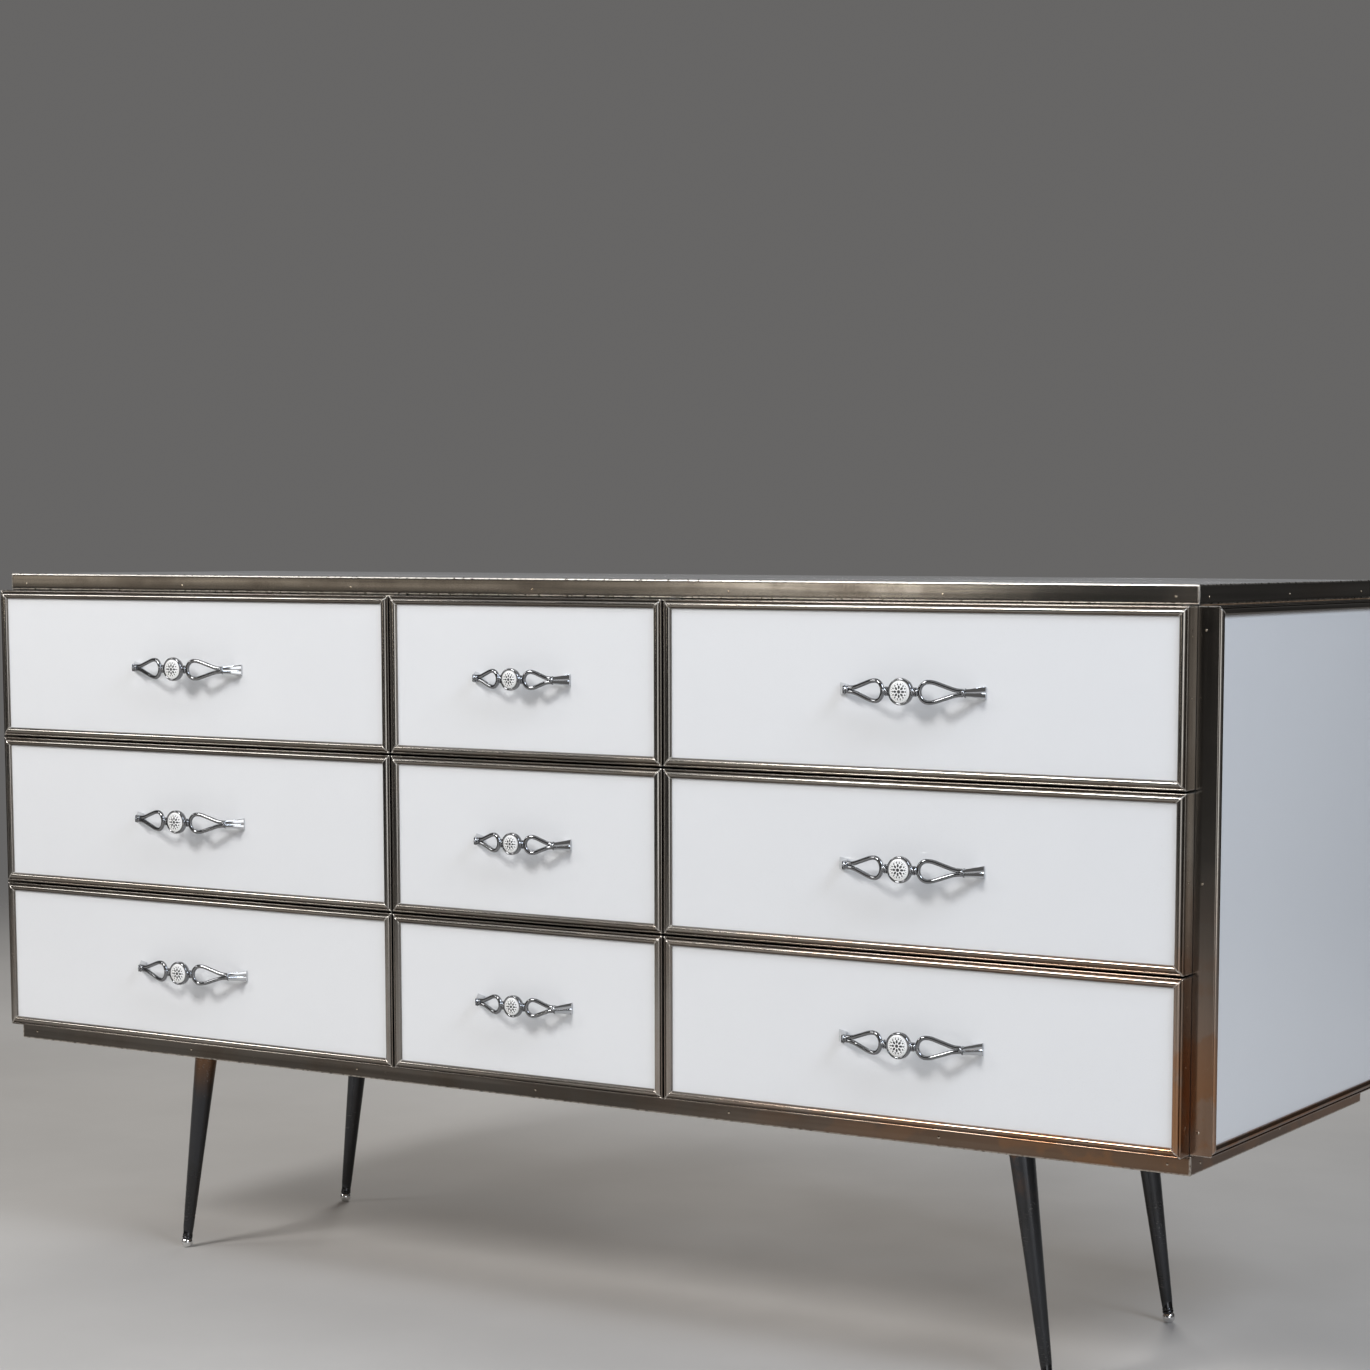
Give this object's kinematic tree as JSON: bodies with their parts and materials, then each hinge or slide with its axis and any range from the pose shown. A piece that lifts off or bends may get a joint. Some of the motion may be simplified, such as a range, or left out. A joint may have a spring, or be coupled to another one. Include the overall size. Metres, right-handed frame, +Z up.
{
  "type": "chest of drawers",
  "caption": "Long low chest of drawers with white glass fronts and sides in mitred polished metal moulding, ornate bow pulls and slim splayed metal legs on ball glides.",
  "frame": {"origin": "on the floor under the middle of the whole chest, pulls included", "axes": "+Z up, -Y to the front where the drawers open, +X to the right of someone facing the front"},
  "size_m": [1.6724, 0.5304, 0.8611],
  "materials": {
    "case_wood": "satin",
    "back_wood": "matt",
    "drawer_wood": "satin",
    "runner_wood": "waxed",
    "white_glass": "gloss, painted white behind",
    "trim_metal": "polished nickel plate, lightly worn",
    "pull_metal": "polished nickel plate",
    "leg_metal": "dark polished",
    "glide_metal": "bright polished",
    "hardware_steel": "zinc plated"
  },
  "bodies": {
    "chest": {"top_board": "case_wood", "bottom_board": "case_wood", "left_side_board": "case_wood", "right_side_board": "case_wood", "partitions": "case_wood", "back_panel": "back_wood", "top_glass": "white_glass", "top_band": "trim_metal", "bottom_band": "trim_metal", "left_panel_board": "case_wood", "right_panel_board": "case_wood", "left_panel_glass": "white_glass", "right_panel_glass": "white_glass", "left_panel_frame": "trim_metal", "right_panel_frame": "trim_metal", "runners": "runner_wood", "trim_nails": "trim_metal", "wood_screws": "hardware_steel", "front_left_leg": "leg_metal", "front_right_leg": "leg_metal", "back_left_leg": "leg_metal", "back_right_leg": "leg_metal", "leg_plates": "hardware_steel", "leg_glides": "glide_metal"},
    "upper_left_drawer": {"upper_left_box": "drawer_wood", "upper_left_glass": "white_glass", "upper_left_frame": "trim_metal", "upper_left_pull": "pull_metal"},
    "upper_centre_drawer": {"upper_centre_box": "drawer_wood", "upper_centre_glass": "white_glass", "upper_centre_frame": "trim_metal", "upper_centre_pull": "pull_metal"},
    "upper_right_drawer": {"upper_right_box": "drawer_wood", "upper_right_glass": "white_glass", "upper_right_frame": "trim_metal", "upper_right_pull": "pull_metal"},
    "middle_left_drawer": {"middle_left_box": "drawer_wood", "middle_left_glass": "white_glass", "middle_left_frame": "trim_metal", "middle_left_pull": "pull_metal"},
    "middle_centre_drawer": {"middle_centre_box": "drawer_wood", "middle_centre_glass": "white_glass", "middle_centre_frame": "trim_metal", "middle_centre_pull": "pull_metal"},
    "middle_right_drawer": {"middle_right_box": "drawer_wood", "middle_right_glass": "white_glass", "middle_right_frame": "trim_metal", "middle_right_pull": "pull_metal"},
    "lower_left_drawer": {"lower_left_box": "drawer_wood", "lower_left_glass": "white_glass", "lower_left_frame": "trim_metal", "lower_left_pull": "pull_metal"},
    "lower_centre_drawer": {"lower_centre_box": "drawer_wood", "lower_centre_glass": "white_glass", "lower_centre_frame": "trim_metal", "lower_centre_pull": "pull_metal"},
    "lower_right_drawer": {"lower_right_box": "drawer_wood", "lower_right_glass": "white_glass", "lower_right_frame": "trim_metal", "lower_right_pull": "pull_metal"}
  },
  "joints": [
    {"name": "upper_left_slide", "type": "slide", "parent": "chest", "child": "upper_left_drawer", "axis": [0, -1, 0], "range_m": [0, 0.33]},
    {"name": "upper_centre_slide", "type": "slide", "parent": "chest", "child": "upper_centre_drawer", "axis": [0, -1, 0], "range_m": [0, 0.33]},
    {"name": "upper_right_slide", "type": "slide", "parent": "chest", "child": "upper_right_drawer", "axis": [0, -1, 0], "range_m": [0, 0.33]},
    {"name": "middle_left_slide", "type": "slide", "parent": "chest", "child": "middle_left_drawer", "axis": [0, -1, 0], "range_m": [0, 0.33]},
    {"name": "middle_centre_slide", "type": "slide", "parent": "chest", "child": "middle_centre_drawer", "axis": [0, -1, 0], "range_m": [0, 0.33]},
    {"name": "middle_right_slide", "type": "slide", "parent": "chest", "child": "middle_right_drawer", "axis": [0, -1, 0], "range_m": [0, 0.33]},
    {"name": "lower_left_slide", "type": "slide", "parent": "chest", "child": "lower_left_drawer", "axis": [0, -1, 0], "range_m": [0, 0.33]},
    {"name": "lower_centre_slide", "type": "slide", "parent": "chest", "child": "lower_centre_drawer", "axis": [0, -1, 0], "range_m": [0, 0.33]},
    {"name": "lower_right_slide", "type": "slide", "parent": "chest", "child": "lower_right_drawer", "axis": [0, -1, 0], "range_m": [0, 0.33]}
  ]
}
